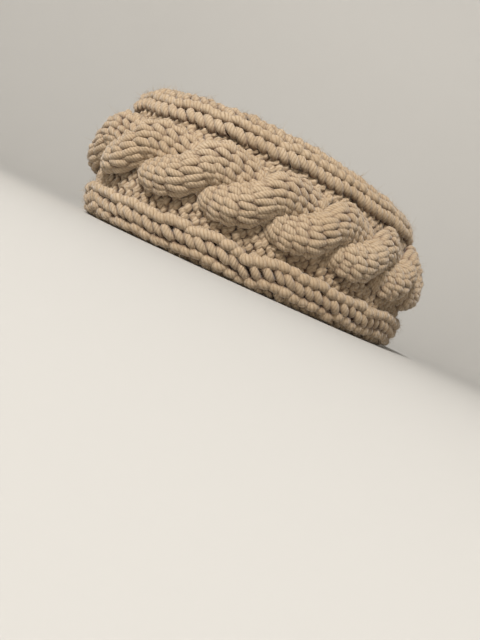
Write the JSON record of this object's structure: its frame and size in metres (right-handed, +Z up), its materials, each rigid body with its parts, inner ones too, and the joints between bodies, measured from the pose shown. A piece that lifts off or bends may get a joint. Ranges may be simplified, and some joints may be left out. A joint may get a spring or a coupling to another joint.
{
  "type": "ear warmer headband",
  "caption": "Chunky knitted ear warmer headband with ribbed borders, purl gutters and a rope cable running round it.",
  "frame": {"origin": "middle of the band's footprint, on the surface it stands on", "axes": "+Z up through the ring, X along the head from front to back, Y across the head"},
  "size_m": [0.217, 0.1814, 0.0817],
  "materials": {
    "yarn": "plied acrylic yarn, oatmeal, matt with a slight halo of fibres"
  },
  "bodies": {
    "root": {"lower_border": "yarn", "lower_purl_gutter": "yarn", "cable_strand_1": "yarn", "cable_strand_2": "yarn", "upper_purl_gutter": "yarn", "upper_border": "yarn"}
  },
  "joints": []
}
